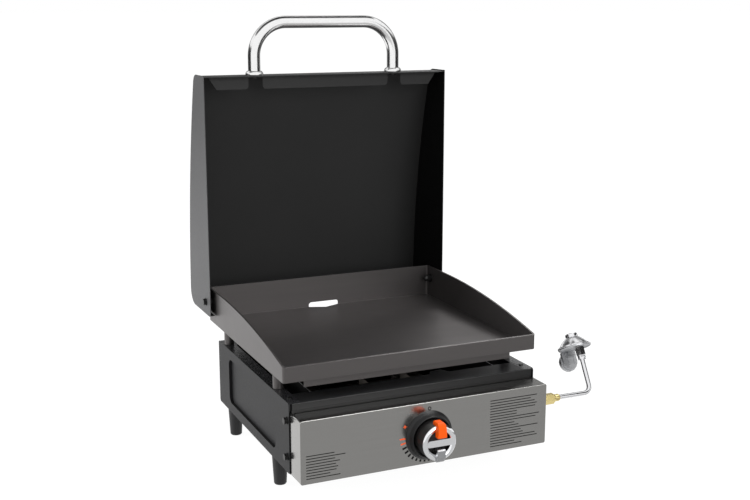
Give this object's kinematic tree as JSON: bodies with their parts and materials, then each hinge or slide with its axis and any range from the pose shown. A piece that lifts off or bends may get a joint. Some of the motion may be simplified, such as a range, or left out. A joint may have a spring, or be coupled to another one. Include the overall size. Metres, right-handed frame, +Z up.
{
  "type": "tabletop gas griddle",
  "caption": "Tabletop gas griddle with its hinged hood open: rolled steel cooking plate with walls, boxed base with burner, control panel with knob, and a gas regulator on a side arm.",
  "frame": {"origin": "on the table surface, under the centre of the base's footprint", "axes": "+Z up, +X to the right seen from the front, +Y to the back, towards the hinges"},
  "size_m": [0.5667, 0.5677, 0.715],
  "materials": {
    "base_paint": "satin powder coat",
    "rail_paint": "satin powder coat",
    "hood_paint": "satin powder coat",
    "plate_steel": "rolled steel, oiled",
    "panel_steel": "brushed stainless steel",
    "black_steel": "black oxide",
    "zinc_steel": "zinc plated",
    "burner_steel": "stainless steel",
    "tray_steel": "matt heat-proof coat",
    "foot_plastic": "matt",
    "chrome": "polished",
    "brass": "plain",
    "knob_plastic": "fine texture",
    "bezel_plastic": "fine texture",
    "pointer_plastic": "satin",
    "block_metal": "satin",
    "ceramic": "glazed ceramic",
    "lead": "silicone",
    "cast_zinc": "die cast",
    "plated_zinc": "bright plated"
  },
  "bodies": {
    "base": {"left_side_panel": "base_paint", "right_side_panel": "base_paint", "front_rail": "rail_paint", "rear_panel": "rail_paint", "burner_tray": "tray_steel", "control_panel": "panel_steel", "panel_brackets": "rail_paint", "side_bolts": "black_steel", "rail_screws": "black_steel", "foot_front_left": "foot_plastic", "foot_front_right": "foot_plastic", "foot_rear_left": "foot_plastic", "foot_rear_right": "foot_plastic", "foot_screws": "zinc_steel", "burner": "burner_steel", "burner_rests": "burner_steel", "burner_bracket": "burner_steel", "valve_body": "brass", "valve_bonnet": "zinc_steel", "valve_screws": "zinc_steel", "gas_orifice": "brass", "inlet_pipe": "brass", "inlet_locknut": "brass", "knob_bezel": "bezel_plastic", "igniter_electrode": "ceramic", "igniter_lead": "lead", "grease_bracket": "rail_paint", "bracket_screws": "zinc_steel"},
    "griddle": {"griddle_plate": "plate_steel", "plate_standoffs": "plate_steel", "front_stiffener": "plate_steel", "rear_stiffener": "plate_steel", "grease_spout": "plate_steel", "hinge_bolts": "black_steel", "hinge_spacers": "black_steel", "acorn_nuts": "black_steel"},
    "hood": {"hood_shell": "hood_paint", "hood_left_side": "hood_paint", "hood_right_side": "hood_paint", "hood_lip": "hood_paint", "handle_tube": "chrome", "handle_collars": "chrome", "handle_screws": "black_steel"},
    "valve": {"valve_plug": "brass"},
    "knob": {"valve_stem": "zinc_steel", "knob_body": "knob_plastic", "knob_ring": "chrome", "knob_pointer": "pointer_plastic", "knob_block": "block_metal"},
    "gas_arm": {"swivel_nut": "brass", "tube_ferrule": "brass", "gas_tube": "zinc_steel", "outlet_nut": "plated_zinc", "regulator_dome": "plated_zinc", "regulator_cap": "plated_zinc", "regulator_housing": "cast_zinc", "cylinder_collar": "cast_zinc"},
    "cup": {"grease_cup": "zinc_steel"}
  },
  "joints": [
    {"name": "griddle_lift", "type": "slide", "parent": "base", "child": "griddle", "axis": [0, 0, 1], "range_m": [0, 0.06]},
    {"name": "hood_hinge", "type": "hinge", "parent": "griddle", "child": "hood", "pos_m": [0, 0.198, 0.2252], "axis": [1, 0, 0], "range_deg": [0, 90]},
    {"name": "valve_turn", "type": "hinge", "parent": "base", "child": "valve", "pos_m": [0, -0.2235, 0.0925], "axis": [0, -1, 0], "range_deg": [0, 180]},
    {"name": "knob_push", "type": "slide", "parent": "valve", "child": "knob", "axis": [0, 1, 0], "range_m": [0, 0.003], "stiffness_N_per_m": 800, "springref_m": -0.002},
    {"name": "arm_swivel", "type": "hinge", "parent": "base", "child": "gas_arm", "pos_m": [0.2262, -0.2023, 0.1108], "axis": [1, 0, 0], "range_deg": [-60, 30]},
    {"name": "cup_slide", "type": "slide", "parent": "base", "child": "cup", "axis": [0, 1, 0], "range_m": [0, 0.045]}
  ]
}
